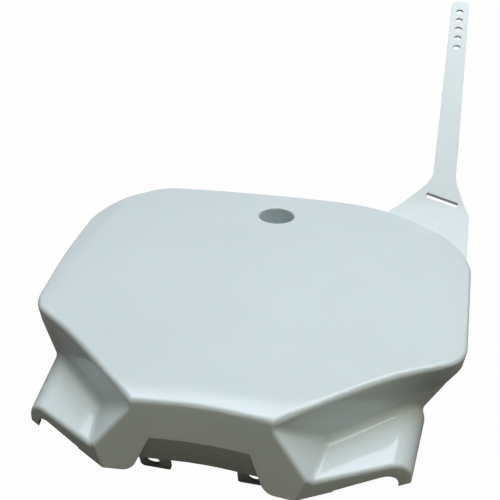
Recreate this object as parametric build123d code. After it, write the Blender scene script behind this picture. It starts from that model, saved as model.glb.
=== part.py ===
from build123d import *
import os
from math import asin, atan2, cos, degrees, radians, sin, sqrt, tan

# Racing number board: one moulded plastic shell, with its clamp strap and lower lugs in one piece.
# It lies on its back. X is across, +Y points to the top edge and +Z out of the face.
# The origin is the centre of the bolt hole, on the seat under the bolt cup.
# Depths are measured down from the middle of the face.

# Shell
WALL = 2.6
FACE_HEIGHT = 41.0
BOW_RADIUS = 1750.0
ROLL_HALF = 97.0
ROLL_TILT = 8.0
ROLL_RADIUS = 60.0
EDGE_RADIUS = 2.5
RIM_DEPTH = 17.0

# Face outline, right half, from the top edge round to the bottom edge
TOP_Y = 31.6
TOP_HALF = 83.3
TOP_RADIUS = 30.0
SHOULDER_HALF = 118.0
SHOULDER_Y = 0.0
SHOULDER_RADIUS = 50.0
SEAT_TOP_X = 72.0
SEAT_RADIUS = 90.0
SEAT_SHOULDER_Y = -12.0
WAIST_HALF = 107.2
WAIST_Y = -110.0
WAIST_RADIUS = 26.0
FOOT_HALF = 29.5
FOOT_Y = -179.0
ARCH_RISE = 2.5
ARCH_Y = FOOT_Y + ARCH_RISE
ARCH_RADIUS = 160.0

# Where the rim sweeps down from the side to the ear
SWEEP_START_Y = -114.5
SWEEP_END_Y = -126.8
SWEEP_DEPTH = 31.0
SWEEP_START_RADIUS = 8.0
SWEEP_END_RADIUS = 10.0

# Flared bottom wall, and the columns at its ends
FRONT_FLARE = 0.25
COLUMN_DEPTH = 31.6
COLUMN_TOP_DEPTH = 3.4
COLUMN_SPREAD = 0.9
COLUMN_TURN = 11.5

# Ears beside the columns
EAR_TURN = 9.5
EAR_REACH = 111.2
EAR_SLOPE = 2.5
EAR_ROOT_REACH = 73.0
EAR_ROOT_DEPTH = 23.3
EAR_ROLL_RADIUS = 11.5
EAR_LIP = 4.8
EAR_LIP_RISE = 3.2
EAR_DEPTH = 37.7
EAR_TIP_HALF = 85.6
EAR_TIP_SET = 16.2
EAR_TIP_Y = FOOT_Y + EAR_TIP_SET
EAR_HEEL_HALF = 42.6
EAR_HEEL_SET = 7.2
EAR_HEEL_Y = FOOT_Y - EAR_HEEL_SET

# Notch between the columns
NOTCH_DEPTH = 16.3
NOTCH_HALF = 20.7
NOTCH_SPREAD = 0.45
NOTCH_LEAN = 0.2
NOTCH_RIM_DEPTH = 30.8

# Softened edges
VALLEY_RADIUS = 4.0
RIDGE_RADIUS = 2.0
COLUMN_FOOT_RADIUS = 6.5

# Bolt cup
CUP_MOUTH_DIAMETER = 22.0
CUP_FLOOR_DIAMETER = 19.0
CUP_FLOOR = 3.0
CUP_MOUTH_RADIUS = 1.2
BOLT_DIAMETER = 6.5

# Lugs below the notch
LUG_SET = 2.3
LUG_Y = FOOT_Y + LUG_SET
LUG_THICK = 1.6
LUG_LEAN = 14.0
LUG_INNER = 14.6
LUG_OUTER = 28.0
LUG_DEPTH = 40.5
LUG_HOLE_DIAMETER = 6.6
LUG_HOLE_HALF = 22.2
LUG_HOLE_DEPTH = 35.4
LUG_INNER_RADIUS = 1.3
LUG_OUTER_RADIUS = 2.2

# Clamp strap, on the right shoulder
STRAP_THICK = 1.5
STRAP_BASE_SLOPE = 23.5
STRAP_RISE = 34.0
STRAP_BEND_Y = 38.0
STRAP_BEND_DEPTH = -1.0
STRAP_BEND_RADIUS = 40.0
STRAP_END_Y = 210.2
STRAP_END_DEPTH = -103.3
STRAP_X = 102.2
STRAP_END_X = 110.2
STRAP_WIDTH = 14.5
STRAP_END_WIDTH = 13.0
STRAP_END_RADIUS = 4.0
STRAP_NECK_Y = 54.0
STRAP_NECK_RADIUS = 18.0
STRAP_ROOT_X = 62.0
STRAP_ROOT_Y = 22.5
STRAP_BULGE_X = 119.2
STRAP_BULGE_Y = 31.0
STRAP_BULGE_RADIUS = 14.0
STRAP_HOLES = 5
STRAP_HOLE_DIAMETER = 5.5
STRAP_HOLE_PITCH = 10.6
STRAP_HOLE_END = 12.6
SLOT_X = 102.0
SLOT_Y = 41.0
SLOT_LENGTH = 20.6
SLOT_WIDTH = 3.4
SLOT_TURN = -15.0

# Stock that the cutters and fillers reach past the shell
REACH = 60.0


def height(depth):
    """Z of a depth below the middle of the face."""
    return FACE_HEIGHT - depth


def both_sides(solid):
    """A solid of the right half, with its mirror image."""
    return solid + mirror(solid, Plane.YZ)


def prism(outline, low, high):
    """A plan outline, drawn at Z 0, raised from one height to another."""
    return Pos(0, 0, low) * extrude(outline, amount=high - low)


def along_x(points, radii):
    """A closed outline in Y and Z, carried across the whole width."""
    outline = make_face(FilletPolyline(*points, radius=radii, close=True))
    return extrude(Plane.YZ * outline, amount=SHOULDER_HALF + REACH, both=True)


def turned(angle, outline):
    """A section in reach and height, turned in plan and carried along its own wall."""
    turn = radians(angle)
    across = Plane((0, 0, 0), x_dir=(cos(turn), -sin(turn), 0), z_dir=(-sin(turn), -cos(turn), 0))
    return extrude(across * outline, amount=4 * REACH, both=True)


def face_section(inset):
    """Section under the face: a slow bow that rolls down along both sides."""
    bow = BOW_RADIUS - inset
    middle = FACE_HEIGHT - BOW_RADIUS
    turn = asin(ROLL_HALF / BOW_RADIUS)
    tilt = turn + radians(ROLL_TILT)
    roll = ROLL_RADIUS - inset
    start = (bow * sin(turn), middle + bow * cos(turn))
    hub = (start[0] - roll * sin(turn), start[1] - roll * cos(turn))
    end = (hub[0] + roll * sin(tilt), hub[1] + roll * cos(tilt))
    edge = (end[0] + REACH * cos(tilt), end[1] - REACH * sin(tilt))
    top = ThreePointArc((-start[0], start[1]), (0, middle + bow), start)
    right = RadiusArc(start, end, roll)
    line = [right, Line(end, edge)]
    walls = Polyline(edge, (edge[0], -REACH), (-edge[0], -REACH), (-edge[0], edge[1]))
    return make_face([top, walls] + line + [mirror(piece, Plane.YZ) for piece in line])


def tray(inset):
    """The bowed face and its vertical walls, moved inwards by the inset."""
    run = (FOOT_HALF - WAIST_HALF) / (FOOT_Y - WAIST_Y)
    toe_y = FOOT_Y - FRONT_FLARE * FACE_HEIGHT
    toe_half = FOOT_HALF + run * (toe_y - FOOT_Y)
    points = [
        (SEAT_TOP_X, TOP_Y),
        (SHOULDER_HALF, SEAT_SHOULDER_Y),
        (WAIST_HALF, WAIST_Y),
        (toe_half, toe_y),
        (-toe_half, toe_y),
        (-WAIST_HALF, WAIST_Y),
        (-SHOULDER_HALF, SHOULDER_Y),
        (-TOP_HALF, TOP_Y),
    ]
    lower = [SHOULDER_RADIUS, WAIST_RADIUS, 0]
    radii = [SEAT_RADIUS] + lower + lower[::-1] + [TOP_RADIUS]
    outline = make_face(FilletPolyline(*points, radius=radii, close=True))
    if inset:
        outline = offset(outline, -inset, kind=Kind.INTERSECTION)
    low = -REACH if inset else height(EAR_DEPTH)
    walls = prism(outline, low, FACE_HEIGHT)
    return walls & extrude(Plane.XZ * face_section(inset), amount=TOP_Y - toe_y + REACH, both=True)


def rim_sweep():
    """Cutter below the rim: shallow along the sides, sweeping down to the ears."""
    points = [
        (REACH, height(RIM_DEPTH)),
        (SWEEP_START_Y, height(RIM_DEPTH)),
        (SWEEP_END_Y, height(SWEEP_DEPTH)),
        (SWEEP_END_Y, -REACH),
        (REACH, -REACH),
    ]
    radii = [0, SWEEP_START_RADIUS, SWEEP_END_RADIUS, 0, 0]
    return along_x(points, radii)


def arch_cutter(flare, start_depth, inset):
    """Everything in front of the arched bottom wall, leaning out by the flare below a depth."""
    slope = ARCH_RISE / FOOT_HALF
    half = EAR_TIP_HALF
    shift = inset * sqrt(1 + flare**2) - FRONT_FLARE * start_depth
    points = [
        (-half, ARCH_Y - slope * half),
        (0, ARCH_Y),
        (half, ARCH_Y - slope * half),
        (half, ARCH_Y - 2 * REACH),
        (-half, ARCH_Y - 2 * REACH),
    ]
    outline = make_face(FilletPolyline(*points, radius=[0, ARCH_RADIUS, 0, 0, 0], close=True))
    top = FACE_HEIGHT + REACH
    start = Pos(0, shift + flare * (top - height(start_depth)), top) * outline
    return extrude(start, amount=2 * top, dir=(0, -flare, -1))


def ear_plan(inset):
    """Plan of the ears and columns, between the two outer edges and the two lower edges."""
    turn = radians(EAR_TURN)

    def outer(y):
        return (EAR_REACH + y * sin(turn)) / cos(turn)

    run = (EAR_TIP_HALF - EAR_HEEL_HALF) / (EAR_TIP_Y - EAR_HEEL_Y)
    tip_y = EAR_HEEL_Y + (outer(EAR_HEEL_Y) - EAR_HEEL_HALF) / (run - tan(turn))
    low_half = FOOT_HALF / 2
    low_y = EAR_HEEL_Y + (low_half - EAR_HEEL_HALF) / run
    right = [(outer(WAIST_Y), WAIST_Y), (outer(tip_y), tip_y), (low_half, low_y)]
    left = [(-x, y) for x, y in reversed(right)]
    outline = make_face(Polyline(*right, *left, close=True))
    if inset:
        outline = offset(outline, -inset, kind=Kind.INTERSECTION)
    return outline


def ear_section(inset, depth, slope):
    """Section under a sloped ledge that rolls down at its outer edge."""
    start = EAR_ROOT_REACH / 2
    end = EAR_REACH - inset
    fall = tan(radians(slope))
    skin = depth + fall * (start - EAR_ROOT_REACH)
    edge = depth + fall * (end - EAR_ROOT_REACH)
    points = [(start, height(skin)), (end, height(edge)), (end, -REACH), (start, -REACH)]
    radii = [0, EAR_ROLL_RADIUS - inset, 0, 0]
    return make_face(FilletPolyline(*points, radius=radii, close=True))


def ears(inset):
    """Both ears: a skin as deep as the lip outside, or the whole hollow below it inside."""
    skin = EAR_ROOT_DEPTH + inset / cos(radians(EAR_SLOPE))
    section = ear_section(inset, skin, EAR_SLOPE)
    if not inset:
        section = section - ear_section(EAR_LIP, COLUMN_DEPTH, 0)
        section = section - ear_section(EAR_LIP, COLUMN_DEPTH, -EAR_LIP_RISE)
    low = -REACH if inset else height(EAR_DEPTH)
    return prism(ear_plan(inset), low, FACE_HEIGHT) & both_sides(turned(EAR_TURN, section))


def column_top():
    """Point where the column side leaves the corner of the tray."""
    run = (FOOT_HALF - WAIST_HALF) / (FOOT_Y - WAIST_Y)
    slope = ARCH_RISE / FOOT_HALF
    front_y = ARCH_Y - FRONT_FLARE * COLUMN_TOP_DEPTH
    half = (FOOT_HALF + run * (front_y - FOOT_Y)) / (1 + run * slope)
    return half, front_y - slope * half


def columns(inset):
    """The two columns, joined behind the bottom wall, with sides that spread as they go down."""
    half, y = column_top()
    turn = radians(COLUMN_TURN)
    spread = COLUMN_SPREAD * cos(turn)
    reach = half * cos(turn) - y * sin(turn) - inset * sqrt(1 + spread**2)
    top = COLUMN_TOP_DEPTH / 2 + inset
    low = FACE_HEIGHT + REACH if inset else COLUMN_DEPTH
    points = [
        (reach + spread * (top - COLUMN_TOP_DEPTH), height(top)),
        (reach + spread * (low - COLUMN_TOP_DEPTH), height(low)),
        (-4 * REACH, height(low)),
        (-4 * REACH, height(top)),
    ]
    side = turned(COLUMN_TURN, make_face(Polyline(*points, close=True)))
    plan = prism(ear_plan(inset), -REACH, FACE_HEIGHT)
    return plan & side & mirror(side, Plane.YZ)


def notch_wedge(grow):
    """Sloped sides of the notch between the columns, right through the board."""
    top = NOTCH_DEPTH - (NOTCH_HALF + grow) / NOTCH_SPREAD
    low = FACE_HEIGHT + REACH
    wide = NOTCH_SPREAD * (low - top)
    sides = make_face(Polyline((0, height(top)), (wide, height(low)), (-wide, height(low)), close=True))
    return extrude(Plane.XZ * sides, amount=4 * REACH, both=True)


def notch(inset):
    """Cutter for the notch, in front of a band that leans back."""
    grow = inset * sqrt(1 + NOTCH_SPREAD**2)
    return arch_cutter(-NOTCH_LEAN, NOTCH_DEPTH, inset) & notch_wedge(grow)


def below(depth):
    """Everything under a depth at the lower end of the board."""
    return Pos(0, EAR_TIP_Y - REACH, height(depth) - REACH) * Box(4 * REACH, 2 * REACH, 2 * REACH)


def hollow():
    """The space inside the shell, open at the back."""
    space = tray(WALL) + ears(WALL) + columns(WALL)
    return space - arch_cutter(FRONT_FLARE, 0, WALL) - notch(WALL)


def near(body, point):
    """Face of a body that lies nearest to a point."""
    return body.faces().sort_by_distance(Vertex(*point))[0]


def seams(body, pairs):
    """Edges between pairs of named faces, on both sides of the board."""
    points = landmarks()
    found = []
    for first, second in pairs:
        for side in (1, -1):
            ends = [(side * points[name][0], *points[name][1:]) for name in (first, second)]
            one, two = [near(body, end).edges() for end in ends]
            found += [edge for edge in one if any(edge.is_same(other) for other in two)]
    return found


def landmarks():
    """Points on the outer faces of the lower right end, by name."""
    turn = radians(EAR_TURN)
    reach = (EAR_ROOT_REACH + EAR_REACH) / 2
    ledge_depth = EAR_ROOT_DEPTH + tan(radians(EAR_SLOPE)) * (reach - EAR_ROOT_REACH)
    half, side_y = column_top()
    side_depth = (COLUMN_TOP_DEPTH + EAR_ROOT_DEPTH) / 2
    lip_depth = (EAR_ROOT_DEPTH + COLUMN_DEPTH) / 2
    notch_depth = (NOTCH_DEPTH + NOTCH_RIM_DEPTH) / 2
    fall = notch_depth - NOTCH_DEPTH
    lean = FRONT_FLARE * NOTCH_DEPTH
    return {
        "diagonal": ((WAIST_HALF + FOOT_HALF) / 2, (WAIST_Y + FOOT_Y) / 2, height(RIM_DEPTH / 2)),
        "ledge": (reach / cos(turn) + EAR_TIP_Y * tan(turn), EAR_TIP_Y, height(ledge_depth)),
        "side": (half + COLUMN_SPREAD * (side_depth - COLUMN_TOP_DEPTH), side_y, height(side_depth)),
        "lip": ((EAR_TIP_HALF + EAR_HEEL_HALF) / 2, (EAR_TIP_Y + EAR_HEEL_Y) / 2, height(lip_depth)),
        "front": (FOOT_HALF, FOOT_Y - FRONT_FLARE * EAR_ROOT_DEPTH, height(EAR_ROOT_DEPTH)),
        "cheek": (NOTCH_HALF + NOTCH_SPREAD * fall, FOOT_Y - lean, height(notch_depth)),
    }


def face_edges(body):
    """Edges round the whole face, but not the soft lines across it."""
    tops = [face for face in body.faces() if face.center().Z > height(EDGE_RADIUS + RIM_DEPTH / 2)]
    tops = [face for face in tops if face.normal_at(face.center()).Z > cos(radians(45))]
    every = [edge for face in tops for edge in face.edges()]
    return [edge for edge in every if sum(edge.is_same(other) for other in every) == 1]


def feet(body):
    """Lowest edges of the two sides of the notch."""
    x, y, z = landmarks()["cheek"]
    return [near(body, (side * x, y, z)).edges().sort_by(Axis.Z)[0] for side in (1, -1)]


def outside():
    """The outer form with its softened edges, before it is hollowed."""
    body = tray(0) - below(COLUMN_DEPTH) + ears(0) + columns(0) - arch_cutter(FRONT_FLARE, 0, 0)
    ridges = [("side", "front"), ("side", "lip"), ("ledge", "lip"), ("lip", "front")]
    valleys = [("diagonal", "ledge"), ("ledge", "side"), ("diagonal", "side")]
    body = fillet(seams(body, ridges), RIDGE_RADIUS)
    body = fillet(face_edges(body), EDGE_RADIUS)
    body = fillet(seams(body, valleys), VALLEY_RADIUS)
    body = body - rim_sweep() - notch(0)
    return fillet(feet(body), COLUMN_FOOT_RADIUS)


def shell(inside):
    """The moulded shell, with the rim of the notch cut back."""
    return outside() - inside - (below(NOTCH_RIM_DEPTH) & notch_wedge(0))


def cup(inset):
    """The tapered bolt cup that sinks from the face, or the recess inside it."""
    low = CUP_FLOOR if inset else 0
    top = FACE_HEIGHT + 1 if inset else FACE_HEIGHT - WALL / 2
    skin = 0 if inset else WALL
    wide = CUP_MOUTH_DIAMETER / 2 + skin
    narrow = CUP_FLOOR_DIAMETER / 2 + skin
    taper = (wide - narrow) / FACE_HEIGHT
    cone = Cone(narrow + taper * low, narrow + taper * top, top - low)
    return Pos(0, 0, (low + top) / 2) * cone


def lug():
    """The right lug: a thin plate that hangs below the notch and leans back, with a pin hole."""
    lean = radians(LUG_LEAN)
    root = (0, LUG_Y, height(NOTCH_RIM_DEPTH))
    plane = Plane(root, x_dir=(1, 0, 0), z_dir=(0, -cos(lean), -sin(lean)))
    tip = (NOTCH_RIM_DEPTH - LUG_DEPTH) / cos(lean)
    hole = (NOTCH_RIM_DEPTH - LUG_HOLE_DEPTH) / cos(lean)
    points = [(LUG_INNER, WALL), (LUG_INNER, tip), (LUG_OUTER, tip), (LUG_OUTER, WALL)]
    radii = [0, LUG_INNER_RADIUS, LUG_OUTER_RADIUS, 0]
    plate = make_face(FilletPolyline(*points, radius=radii, close=True))
    plate = plate - Pos(LUG_HOLE_HALF, hole) * Circle(LUG_HOLE_DIAMETER / 2)
    return extrude(plane * plate, amount=LUG_THICK / 2, both=True)


def strap_path():
    """Middle of the strap seen from the side: a flat root, a bend, then one long easing curve."""
    slope = radians(STRAP_BASE_SLOPE)
    rise = radians(STRAP_RISE)
    bend = (STRAP_BEND_Y, height(STRAP_BEND_DEPTH) - STRAP_THICK / 2)
    root = (bend[0] - REACH, bend[1] - REACH * tan(slope))
    tip = (STRAP_END_Y, height(STRAP_END_DEPTH) - STRAP_THICK / 2)
    step = STRAP_BEND_RADIUS * tan((rise - slope) / 2)
    start = (bend[0] - step * cos(slope), bend[1] - step * sin(slope))
    end = (bend[0] + step * cos(rise), bend[1] + step * sin(rise))
    turn = TangentArc(start, end, tangent=(cos(slope), sin(slope)))
    climb = TangentArc(turn @ 1, tip, tangent=turn % 1)
    return Line(root, start) + turn + climb, climb


def strap_plan():
    """The strap seen from above: a wide root that narrows into the band."""
    neck_step = (STRAP_NECK_Y - STRAP_BEND_Y) / (STRAP_END_Y - STRAP_BEND_Y)
    neck_x = STRAP_X + neck_step * (STRAP_END_X - STRAP_X)
    points = [
        (STRAP_ROOT_X, STRAP_ROOT_Y),
        (neck_x - STRAP_WIDTH / 2, STRAP_NECK_Y),
        (STRAP_END_X - STRAP_END_WIDTH / 2, STRAP_END_Y),
        (STRAP_END_X + STRAP_END_WIDTH / 2, STRAP_END_Y),
        (neck_x + STRAP_WIDTH / 2, STRAP_NECK_Y),
        (STRAP_BULGE_X, STRAP_BULGE_Y),
        (SHOULDER_HALF - WALL / 2, SEAT_SHOULDER_Y),
        (STRAP_ROOT_X, SEAT_SHOULDER_Y),
    ]
    radii = [
        0,
        STRAP_NECK_RADIUS,
        STRAP_END_RADIUS,
        STRAP_END_RADIUS,
        STRAP_NECK_RADIUS,
        STRAP_BULGE_RADIUS,
        0,
        0,
    ]
    outline = make_face(FilletPolyline(*points, radius=radii, close=True))
    slot = RectangleRounded(SLOT_LENGTH, SLOT_WIDTH, SLOT_WIDTH / 5)
    return outline - Pos(SLOT_X, SLOT_Y) * Rot(0, 0, SLOT_TURN) * slot


def strap():
    """The clamp strap with its slot and its row of holes."""
    path, climb = strap_path()
    band = trace(path, STRAP_THICK)
    sheet = extrude(Plane.YZ * band, amount=2 * SHOULDER_HALF)
    solid = sheet & prism(strap_plan(), height(RIM_DEPTH), 4 * REACH)
    drill = Cylinder(STRAP_HOLE_DIAMETER / 2, 4 * STRAP_THICK)
    lean = (STRAP_END_X - STRAP_X) / (STRAP_END_Y - STRAP_BEND_Y)
    for index in range(STRAP_HOLES):
        along = 1 - (STRAP_HOLE_END + index * STRAP_HOLE_PITCH) / climb.length
        spot = climb @ along
        heading = climb % along
        tilt = degrees(atan2(heading.Y, heading.X))
        x = STRAP_END_X + lean * (spot.X - STRAP_END_Y)
        solid = solid - Pos(x, spot.X, spot.Y) * Rot(tilt, 0, 0) * drill
    return solid


def board():
    """The whole board as one solid."""
    inside = hollow()
    body = shell(inside) + both_sides(lug()) + (strap() - inside) + cup(0) - cup(WALL)
    mouth = Vertex(CUP_MOUTH_DIAMETER / 2, 0, FACE_HEIGHT)
    body = fillet(body.edges().sort_by_distance(mouth)[0], CUP_MOUTH_RADIUS)
    return body - Cylinder(BOLT_DIAMETER / 2, 4 * CUP_FLOOR)


os.makedirs("parts", exist_ok=True)
export_step(board(), "parts/number_board.step")
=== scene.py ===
import logging
from dataclasses import dataclass
from enum import Enum
from math import cos, pi, radians, sin

import bmesh
import bpy
import numpy as np
from mathutils import Matrix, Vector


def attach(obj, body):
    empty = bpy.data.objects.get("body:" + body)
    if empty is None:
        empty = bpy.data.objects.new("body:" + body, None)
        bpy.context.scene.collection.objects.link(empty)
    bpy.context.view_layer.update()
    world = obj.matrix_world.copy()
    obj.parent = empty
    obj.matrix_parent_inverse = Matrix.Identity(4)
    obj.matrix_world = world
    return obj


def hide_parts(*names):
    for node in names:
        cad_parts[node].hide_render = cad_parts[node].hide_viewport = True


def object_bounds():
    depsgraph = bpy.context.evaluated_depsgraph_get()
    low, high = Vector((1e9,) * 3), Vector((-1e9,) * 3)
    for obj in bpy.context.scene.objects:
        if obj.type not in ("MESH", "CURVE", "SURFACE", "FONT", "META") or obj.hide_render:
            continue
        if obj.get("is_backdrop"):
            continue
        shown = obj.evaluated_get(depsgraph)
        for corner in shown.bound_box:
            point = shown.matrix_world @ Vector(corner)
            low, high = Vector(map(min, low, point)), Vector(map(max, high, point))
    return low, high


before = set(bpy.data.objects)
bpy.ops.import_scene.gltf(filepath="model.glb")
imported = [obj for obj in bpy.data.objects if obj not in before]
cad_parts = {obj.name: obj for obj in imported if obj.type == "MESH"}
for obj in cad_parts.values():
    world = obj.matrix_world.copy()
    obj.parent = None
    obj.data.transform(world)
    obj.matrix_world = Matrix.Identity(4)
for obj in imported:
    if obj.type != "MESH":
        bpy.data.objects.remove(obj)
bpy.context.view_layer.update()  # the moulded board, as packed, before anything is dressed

BODY = "root"
UPRIGHT = 1e-6  # a sideways direction shorter than this belongs to a vertical line of sight

Point = tuple[float, float, float]
Colour = tuple[float, float, float, float]

logging.basicConfig(level=logging.INFO, format="%(name)s: %(message)s")
LOG = logging.getLogger("number_board")


class Sight(Enum):
    """Kinds of ray that see the plain white surroundings."""

    CAMERA = "Is Camera Ray"
    MIRRORED = "Is Glossy Ray"
    THROUGH = "Is Transmission Ray"


def grey(level: float) -> Colour:
    """A neutral colour of one linear level."""
    return (level, level, level, 1.0)


def add_mesh(name: str, points: np.ndarray, faces: np.ndarray) -> bpy.types.Object:
    """Puts arrays of points and faces into a new smooth-shaded mesh object.

    Args:
        name: Name of the object and of its mesh.
        points: Vertex positions in metres, one row each.
        faces: Vertex numbers of the faces, one row each, all with as many corners.

    Returns:
        The new object, linked to the scene and sitting at the origin.
    """
    mesh = bpy.data.meshes.new(name)
    mesh.from_pydata(points.tolist(), [], faces.tolist())
    mesh.polygons.foreach_set("use_smooth", np.ones(len(faces), dtype=bool))
    mesh.update()
    piece = bpy.data.objects.new(name, mesh)
    bpy.context.scene.collection.objects.link(piece)
    return piece


def read_points(mesh: bpy.types.Mesh) -> np.ndarray:
    """Positions of a mesh's vertices, one row each."""
    points = np.empty(len(mesh.vertices) * 3)
    mesh.vertices.foreach_get("co", points)
    return points.reshape(-1, 3)


def grid_faces(rows: int, columns: int) -> np.ndarray:
    """Four-cornered faces of a grid of points.

    Args:
        rows: Points along the first parameter.
        columns: Points along the second parameter.

    Returns:
        One row of four vertex numbers for each cell of the grid.
    """
    corner = np.arange((rows - 1) * columns).reshape(rows - 1, columns)[:, :-1].ravel()
    return np.stack([corner, corner + 1, corner + columns + 1, corner + columns], axis=1)


@dataclass(frozen=True)
class MouldSkin:
    """What a polished mould leaves on plastic: faint waves, and slow drifts of tone and gloss.

    Scales are in waves to the metre, and heights in metres.
    """

    name: str = "mould skin"
    wave_scale: float = 340.0
    wave_detail: float = 1.0
    wave_height: float = 0.00003
    wave_strength: float = 0.12
    tone_scale: float = 13.0
    tone_detail: float = 2.0
    tone_drift: float = 0.03
    gloss_scale: float = 42.0
    gloss_detail: float = 4.0
    gloss_drift: float = 0.03
    noise_low: float = 0.25
    noise_high: float = 0.75

    def noise(self, tree: bpy.types.NodeTree, scale: float, detail: float) -> bpy.types.NodeSocket:
        """Adds a noise that is fixed to the object.

        Args:
            tree: The node tree to add to.
            scale: Waves to the metre.
            detail: Octaves of finer waves.

        Returns:
            A value socket around one half.
        """
        place = tree.nodes.new("ShaderNodeTexCoord")
        noise = tree.nodes.new("ShaderNodeTexNoise")
        noise.inputs["Scale"].default_value = scale
        noise.inputs["Detail"].default_value = detail
        tree.links.new(place.outputs["Object"], noise.inputs["Vector"])
        return noise.outputs[0]

    def spread(
        self,
        tree: bpy.types.NodeTree,
        value: bpy.types.NodeSocket,
        middle: float,
        reach: float,
    ) -> bpy.types.NodeSocket:
        """Stretches the usual range of a noise to a given range.

        Args:
            tree: The node tree to add to.
            value: The noise.
            middle: Centre of the range.
            reach: How far the range goes to each side.

        Returns:
            A value socket in that range.
        """
        stretch = tree.nodes.new("ShaderNodeMapRange")
        stretch.inputs["From Min"].default_value = self.noise_low
        stretch.inputs["From Max"].default_value = self.noise_high
        stretch.inputs["To Min"].default_value = middle - reach
        stretch.inputs["To Max"].default_value = middle + reach
        tree.links.new(value, stretch.inputs["Value"])
        return stretch.outputs["Result"]

    def build(self) -> bpy.types.NodeTree:
        """Makes the effect as a node group.

        Returns:
            A group that takes a colour and a roughness, and gives both with a normal.
        """
        group = bpy.data.node_groups.new(self.name, "ShaderNodeTree")
        for way in ("INPUT", "OUTPUT"):
            group.interface.new_socket("Colour", in_out=way, socket_type="NodeSocketColor")
            group.interface.new_socket("Roughness", in_out=way, socket_type="NodeSocketFloat")
        group.interface.new_socket("Normal", in_out="OUTPUT", socket_type="NodeSocketVector")
        start = group.nodes.new("NodeGroupInput")
        end = group.nodes.new("NodeGroupOutput")
        tone = group.nodes.new("ShaderNodeHueSaturation")
        drift = self.noise(group, self.tone_scale, self.tone_detail)
        group.links.new(self.spread(group, drift, 1.0, self.tone_drift), tone.inputs["Value"])
        group.links.new(start.outputs["Colour"], tone.inputs["Color"])
        group.links.new(tone.outputs["Color"], end.inputs["Colour"])
        gloss = group.nodes.new("ShaderNodeMath")
        gloss.operation = "ADD"
        gloss.use_clamp = True
        smear = self.noise(group, self.gloss_scale, self.gloss_detail)
        group.links.new(start.outputs["Roughness"], gloss.inputs[0])
        group.links.new(self.spread(group, smear, 0.0, self.gloss_drift), gloss.inputs[1])
        group.links.new(gloss.outputs[0], end.inputs["Roughness"])
        waves = group.nodes.new("ShaderNodeBump")
        waves.inputs["Strength"].default_value = self.wave_strength
        waves.inputs["Distance"].default_value = self.wave_height
        height = self.noise(group, self.wave_scale, self.wave_detail)
        group.links.new(height, waves.inputs["Height"])
        group.links.new(waves.outputs["Normal"], end.inputs["Normal"])
        return group


@dataclass(frozen=True)
class MouldedPlastic:
    """Glossy white plastic, straight from a polished mould.

    Light goes about as far into it as the depth, in metres, the same for every colour.
    """

    name: str = "white moulded plastic"
    colour: Colour = (0.66, 0.745, 0.775, 1.0)
    roughness: float = 0.07
    subsurface: float = 0.35
    depth: float = 0.005
    depth_shares: Point = (1.0, 1.0, 1.0)
    refraction: float = 1.56
    skin: MouldSkin = MouldSkin()

    def build(self) -> bpy.types.Material:
        """Makes the material.

        Returns:
            A material whose gloss comes from the shader and the lamps alone.
        """
        material = bpy.data.materials.new(self.name)
        material.use_nodes = True
        tree = material.node_tree
        shader = tree.nodes["Principled BSDF"]
        skin = tree.nodes.new("ShaderNodeGroup")
        skin.node_tree = self.skin.build()
        skin.inputs["Colour"].default_value = self.colour
        skin.inputs["Roughness"].default_value = self.roughness
        tree.links.new(skin.outputs["Colour"], shader.inputs["Base Color"])
        tree.links.new(skin.outputs["Roughness"], shader.inputs["Roughness"])
        tree.links.new(skin.outputs["Normal"], shader.inputs["Normal"])
        shader.inputs["IOR"].default_value = self.refraction
        shader.inputs["Subsurface Weight"].default_value = self.subsurface
        shader.inputs["Subsurface Radius"].default_value = self.depth_shares
        shader.inputs["Subsurface Scale"].default_value = self.depth
        return material


@dataclass(frozen=True)
class DrawnCorner:
    """A corner of the face that is drawn a little way over the wall below it.

    Lengths are in metres. The shift is whole at the place, fades with a bell curve of the given
    spread, and eases from whole at the height of the face to nothing at the depth below it.
    """

    place: tuple[float, float]
    shift: tuple[float, float]
    spread: float = 0.022
    face: float = 0.038
    depth: float = 0.017

    def share(self, points: np.ndarray) -> np.ndarray:
        """How much of the shift each point takes.

        Args:
            points: Positions in metres, one row each.

        Returns:
            One near the corner on the face, falling to nothing around it and down the wall.
        """
        away = points[:, :2] - self.place
        near = np.exp(-np.sum(away**2, axis=1) / (2 * self.spread**2))
        deep = np.clip((self.face - points[:, 2]) / self.depth, 0.0, 1.0)
        return near * (1 - deep**2 * (3 - 2 * deep))

    def draw(self, points: np.ndarray) -> np.ndarray:
        """Moves points over by their share.

        Args:
            points: Positions in metres, one row each.

        Returns:
            The new positions.
        """
        step = np.array((*self.shift, 0.0))
        return points + self.share(points)[:, None] * step


# The photo shows the waist corners of the face lower than the solid has them.
WAIST = (
    DrawnCorner(place=(-0.1045, -0.110), shift=(0.0045, -0.0085)),
    DrawnCorner(place=(0.1045, -0.110), shift=(-0.0010, -0.0085)),
)


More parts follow.
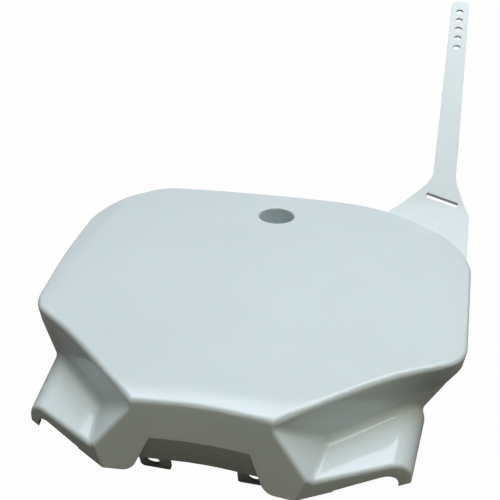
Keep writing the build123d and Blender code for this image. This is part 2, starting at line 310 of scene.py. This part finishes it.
@dataclass
class NumberBoard:
    """The board itself: one moulding, shown with its edges shaded round.

    Edges longer than the cut length, where a corner is drawn by more than the cut share, are
    halved in rounds. The share is looked up at a few probes along each edge.
    """

    node: str = "number_board"
    slot: str = "white_plastic"
    merge: float = 1e-6
    crease: float = radians(24.5)
    flat_weight: int = 100
    cut_rounds: int = 6
    cut_length: float = 0.005
    cut_share: float = 0.01
    cut_probes: int = 9

    def surface(self) -> tuple[np.ndarray, np.ndarray]:
        """Welds the loose triangles of the solid into one skin.

        Points that round to the same multiple of the merge distance become one point.

        Returns:
            Points in metres, and the three point numbers of each triangle.
        """
        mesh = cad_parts[self.node].data
        mesh.calc_loop_triangles()
        points = read_points(mesh)
        corners = np.empty(len(mesh.loop_triangles) * 3, dtype=np.int64)
        mesh.loop_triangles.foreach_get("vertices", corners)
        keys = np.round(points / self.merge).astype(np.int64)
        _, first, number = np.unique(keys, axis=0, return_index=True, return_inverse=True)
        faces = number.ravel()[corners].reshape(-1, 3)
        whole = np.all(faces != np.roll(faces, 1, axis=1), axis=1)
        return points[first], faces[whole]

    def edges_to_cut(self, mesh: bpy.types.Mesh) -> np.ndarray:
        """Finds the edges that are too long to bend with a drawn corner.

        Args:
            mesh: The welded skin.

        Returns:
            Numbers of the edges.
        """
        ends = np.empty(len(mesh.edges) * 2, dtype=np.int64)
        mesh.edges.foreach_get("vertices", ends)
        line = read_points(mesh)[ends].reshape(-1, 2, 3)
        along = np.linspace(0.0, 1.0, self.cut_probes)[:, None, None]
        probes = (line[:, 0] * (1 - along) + line[:, 1] * along).reshape(-1, 3)
        shares = np.max([corner.share(probes) for corner in WAIST], axis=0)
        held = shares.reshape(self.cut_probes, -1).max(axis=0)
        long = np.linalg.norm(line[:, 0] - line[:, 1], axis=1) > self.cut_length
        return np.flatnonzero(long & (held > self.cut_share))

    def draw_waist(self, mesh: bpy.types.Mesh) -> None:
        """Cuts the long edges around the waist corners short, then draws the corners down.

        Args:
            mesh: The welded skin, which is changed in place.
        """
        for _ in range(self.cut_rounds):
            numbers = self.edges_to_cut(mesh)
            skin = bmesh.new()
            skin.from_mesh(mesh)
            skin.edges.ensure_lookup_table()
            bmesh.ops.subdivide_edges(
                skin,
                edges=[skin.edges[number] for number in numbers],
                cuts=1,
                use_grid_fill=True,
                use_single_edge=True,
            )
            bmesh.ops.triangulate(skin, faces=skin.faces)
            skin.to_mesh(mesh)
            skin.free()
        points = read_points(mesh)
        for corner in WAIST:
            points = corner.draw(points)
        mesh.vertices.foreach_set("co", points.ravel())
        mesh.update()

    def build(self, finish: MouldedPlastic) -> bpy.types.Object:
        """Builds the shown board and puts it in the place of the solid.

        Args:
            finish: The plastic that the board is moulded in.

        Returns:
            The dressed board, riding on the body of the part.
        """
        points, faces = self.surface()
        board = add_mesh("board", points, faces)
        self.draw_waist(board.data)
        board.data.set_sharp_from_angle(angle=self.crease)
        even = board.modifiers.new("even shading", "WEIGHTED_NORMAL")
        even.keep_sharp = True
        even.weight = self.flat_weight
        board.data.materials.append(finish.build())
        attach(board, BODY)
        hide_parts(self.node)
        return board


@dataclass
class Surroundings:
    """A floor that turns up into a backdrop, white to the camera, and an even, dim room."""

    half_width: float = 3.0
    front: float = -3.0
    wall: float = 1.6
    bend: float = 0.8
    height: float = 3.0
    bend_steps: int = 24
    floor_colour: Colour = (0.15, 0.14, 0.115, 1.0)
    room_level: float = 0.02
    white_in_view: float = 0.99
    white_in_gloss: float = 0.05

    def sheet(self) -> bpy.types.Object:
        """Builds floor and backdrop as one sheet.

        The profile runs back along the floor, through a quarter circle, and up the wall. It is
        carried straight across the width.

        Returns:
            The sheet, declared as part of the stage.
        """
        turn = np.linspace(0.0, pi / 2, self.bend_steps)
        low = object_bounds()[0][2]
        y = np.concatenate([[self.front], self.wall + self.bend * np.sin(turn), [self.wall + self.bend]])
        z = np.concatenate([[0.0], self.bend * (1 - np.cos(turn)), [self.height]]) + low
        x = np.array([-self.half_width, self.half_width])
        points = np.stack(
            [np.tile(x, len(y)), np.repeat(y, len(x)), np.repeat(z, len(x))],
            axis=1,
        )
        sheet = add_mesh("floor and backdrop", points, grid_faces(len(y), len(x)))
        sheet.data.materials.append(self.paper())
        sheet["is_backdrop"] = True
        return sheet

    def white_share(self, tree: bpy.types.NodeTree) -> bpy.types.NodeSocket:
        """Adds up how white the surroundings look to each kind of ray.

        Args:
            tree: The node tree to add to.

        Returns:
            A value socket: large for the camera, smaller in reflections, none for plain light.
        """
        path = tree.nodes.new("ShaderNodeLightPath")
        shares = {
            Sight.CAMERA: self.white_in_view,
            Sight.MIRRORED: self.white_in_gloss,
            Sight.THROUGH: self.white_in_view,
        }
        total = None
        for sight, share in shares.items():
            part = tree.nodes.new("ShaderNodeMath")
            part.operation = "MULTIPLY_ADD"
            tree.links.new(path.outputs[sight.value], part.inputs[0])
            part.inputs[1].default_value = share
            part.inputs[2].default_value = 0.0
            if total is not None:
                tree.links.new(total, part.inputs[2])
            total = part.outputs[0]
        return total

    def paper(self) -> bpy.types.Material:
        """Makes the paper of the floor, which looks white and sends little light back.

        Returns:
            The material of the sheet.
        """
        material = bpy.data.materials.new("backdrop paper")
        material.use_nodes = True
        tree = material.node_tree
        tree.nodes.remove(tree.nodes["Principled BSDF"])
        matt = tree.nodes.new("ShaderNodeBsdfDiffuse")
        matt.inputs["Color"].default_value = self.floor_colour
        white = tree.nodes.new("ShaderNodeEmission")
        white.inputs["Color"].default_value = grey(1.0)
        mix = tree.nodes.new("ShaderNodeMixShader")
        tree.links.new(self.white_share(tree), mix.inputs[0])
        tree.links.new(matt.outputs[0], mix.inputs[1])
        tree.links.new(white.outputs[0], mix.inputs[2])
        tree.links.new(mix.outputs[0], tree.nodes["Material Output"].inputs["Surface"])
        return material

    def room(self) -> None:
        """Fills the world with dim, even light that looks white to the camera."""
        world = bpy.data.worlds.new("room")
        world.use_nodes = True
        tree = world.node_tree
        dim = tree.nodes["Background"]
        dim.inputs["Color"].default_value = grey(1.0)
        dim.inputs["Strength"].default_value = self.room_level
        white = tree.nodes.new("ShaderNodeBackground")
        white.inputs["Color"].default_value = grey(1.0)
        mix = tree.nodes.new("ShaderNodeMixShader")
        tree.links.new(self.white_share(tree), mix.inputs[0])
        tree.links.new(dim.outputs[0], mix.inputs[1])
        tree.links.new(white.outputs[0], mix.inputs[2])
        tree.links.new(mix.outputs[0], tree.nodes["World Output"].inputs["Surface"])
        bpy.context.scene.world = world


def facing(place: Point, back: Point, roll: float = 0.0) -> Matrix:
    """Places something that looks along its own -Z, level with the horizon before its roll.

    Args:
        place: Where it stands, in metres.
        back: Direction that it turns its back to.
        roll: Turn about its line of sight, in radians.

    Returns:
        Its matrix in the world.
    """
    backward = np.array(back) / np.linalg.norm(back)
    right = np.cross((0.0, 0.0, 1.0), backward)
    length = np.linalg.norm(right)
    right = right / length if length > UPRIGHT else np.array((1.0, 0.0, 0.0))
    up = np.cross(backward, right)
    across = cos(roll) * right + sin(roll) * up
    upward = cos(roll) * up - sin(roll) * right
    turn = Matrix(np.stack([across, upward, backward], axis=1).tolist()).to_4x4()
    return Matrix.Translation(place) @ turn


@dataclass(frozen=True)
class Softbox:
    """A rectangular studio lamp that faces a given point."""

    name: str
    place: Point
    aim: Point
    width: float
    depth: float
    power: float
    colour: tuple[float, float, float]

    def build(self) -> bpy.types.Object:
        """Hangs the lamp.

        Returns:
            The lamp, turned to its aim.
        """
        lamp = bpy.data.lights.new(self.name, "AREA")
        lamp.shape = "RECTANGLE"
        lamp.size = self.width
        lamp.size_y = self.depth
        lamp.energy = self.power
        lamp.color = self.colour
        piece = bpy.data.objects.new(self.name, lamp)
        bpy.context.scene.collection.objects.link(piece)
        back = np.subtract(self.place, self.aim)
        piece.matrix_world = facing(self.place, tuple(back))
        return piece


@dataclass(frozen=True)
class Viewpoint:
    """The photographer's camera, close to the lower edge of the board and above it."""

    place: Point = (0.0552, -0.3637, 0.2163)
    azimuth: float = radians(11.154)
    elevation: float = radians(28.602)
    roll: float = radians(0.993)
    lens: float = 46.8
    sensor: float = 36.0
    nearest: float = 0.01

    def build(self) -> bpy.types.Object:
        """Sets the scene's camera.

        Returns:
            The camera object.
        """
        lens = bpy.data.cameras.new("camera")
        lens.lens = self.lens
        lens.sensor_width = self.sensor
        lens.clip_start = self.nearest
        camera = bpy.data.objects.new("camera", lens)
        bpy.context.scene.collection.objects.link(camera)
        level = cos(self.elevation)
        back = (sin(self.azimuth) * level, -cos(self.azimuth) * level, sin(self.elevation))
        camera.matrix_world = facing(self.place, back, self.roll)
        bpy.context.scene.camera = camera
        return camera


LAMPS = (
    Softbox(
        name="overhead softbox",
        place=(0.1, 0.9, 2.2),
        aim=(0.1, 0.9, 0.0),
        width=3.2,
        depth=2.6,
        power=70.0,
        colour=(0.92, 0.99, 1.1),
    ),
    Softbox(
        name="warm front fill",
        place=(0.45, -0.6, 2.1),
        aim=(0.0, -0.1, 0.0),
        width=0.9,
        depth=0.5,
        power=14.0,
        colour=(1.0, 0.88, 0.55),
    ),
)


def main() -> None:
    """Dresses the board, then sets the floor, the lamps and the camera."""
    bpy.context.scene.view_settings.view_transform = "Standard"
    board = NumberBoard().build(MouldedPlastic())
    LOG.info("board with %d triangles", len(board.data.polygons))
    surroundings = Surroundings()
    LOG.info("stage piece %s", surroundings.sheet().name)
    surroundings.room()
    for lamp in LAMPS:
        LOG.info("lamp %s", lamp.build().name)
    LOG.info("camera %s", Viewpoint().build().name)


if __name__ == "__main__":
    main()
